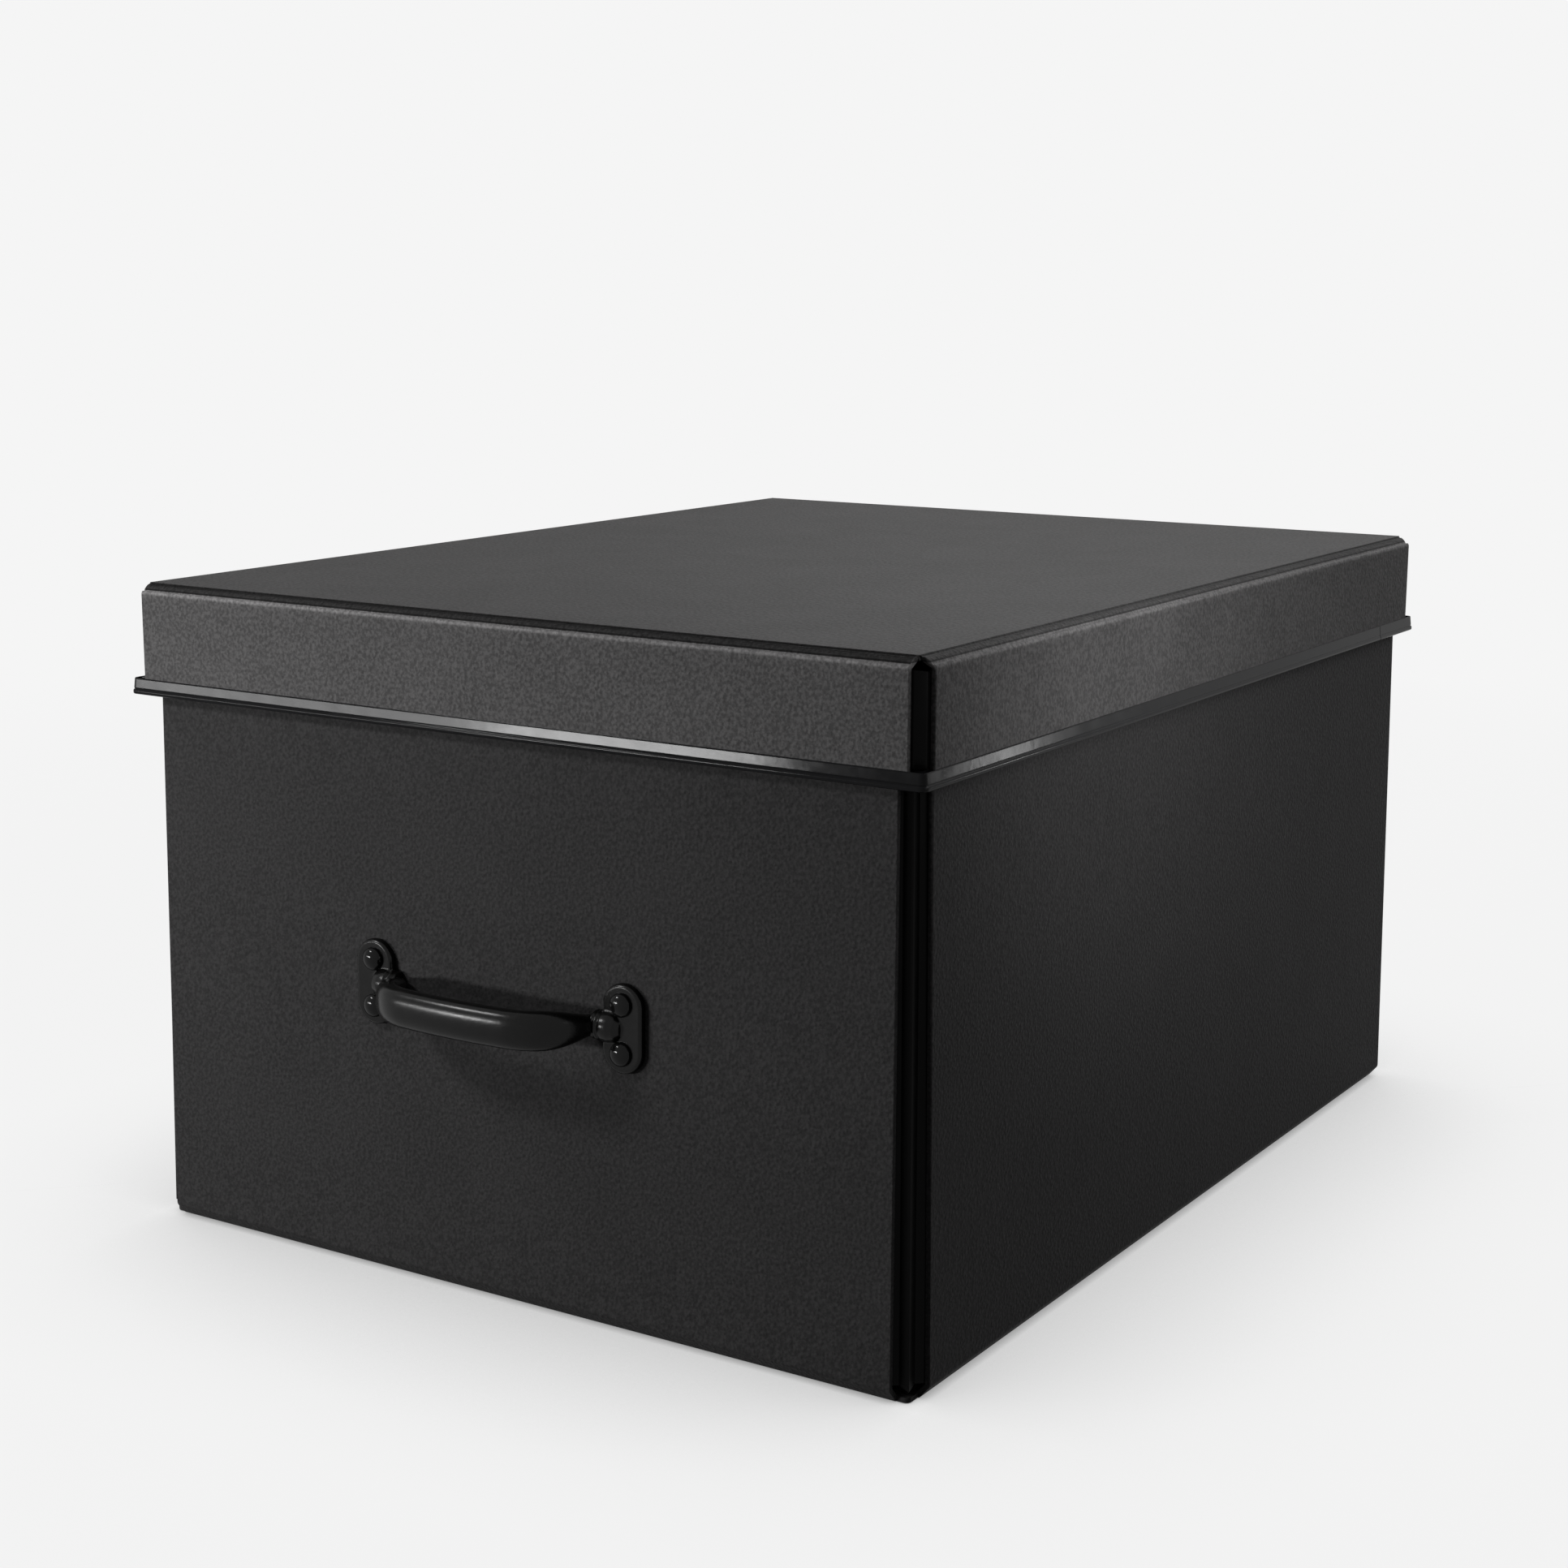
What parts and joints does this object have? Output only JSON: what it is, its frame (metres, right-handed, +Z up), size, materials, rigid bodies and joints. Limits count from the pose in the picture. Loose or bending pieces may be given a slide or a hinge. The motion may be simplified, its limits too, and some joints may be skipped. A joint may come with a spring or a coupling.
{
  "type": "portable file box",
  "caption": "Rectangular file box of folded board with a lift-off lid, plastic corner strips, channel rims and a riveted carrying handle at each end.",
  "frame": {"origin": "on the floor under the middle of the closed box", "axes": "+X to the right along the front, which has a handle; the front faces -Y; +Z up"},
  "size_m": [0.3968, 0.5676, 0.286],
  "materials": {
    "board": "folded fibreboard covered with charcoal paper, fine embossed grain, semi-matt",
    "strip": "gloss black",
    "rim": "gloss black",
    "handle": "satin black",
    "rivet": "gloss black",
    "washer": "plain zinc"
  },
  "bodies": {
    "box": {"body_base": "board", "body_wall_front": "board", "body_wall_right": "board", "body_wall_back": "board", "body_wall_left": "board", "body_corner_front_left": "strip", "body_corner_front_right": "strip", "body_corner_back_right": "strip", "body_corner_back_left": "strip", "body_rim_front": "rim", "body_rim_right": "rim", "body_rim_back": "rim", "body_rim_left": "rim", "handle_front_grip": "handle", "handle_front_plate_left": "handle", "handle_front_plate_right": "handle", "handle_front_rivets": "rivet", "handle_front_washers": "washer", "handle_back_grip": "handle", "handle_back_plate_left": "handle", "handle_back_plate_right": "handle", "handle_back_rivets": "rivet", "handle_back_washers": "washer"},
    "lid": {"lid_board": "board", "lid_corner_front_left": "strip", "lid_corner_front_right": "strip", "lid_corner_back_right": "strip", "lid_corner_back_left": "strip", "lid_rim": "rim"}
  },
  "joints": [
    {"name": "lid_lift", "type": "slide", "parent": "box", "child": "lid", "axis": [0, 0, 1], "range_m": [0, 0.12]}
  ]
}
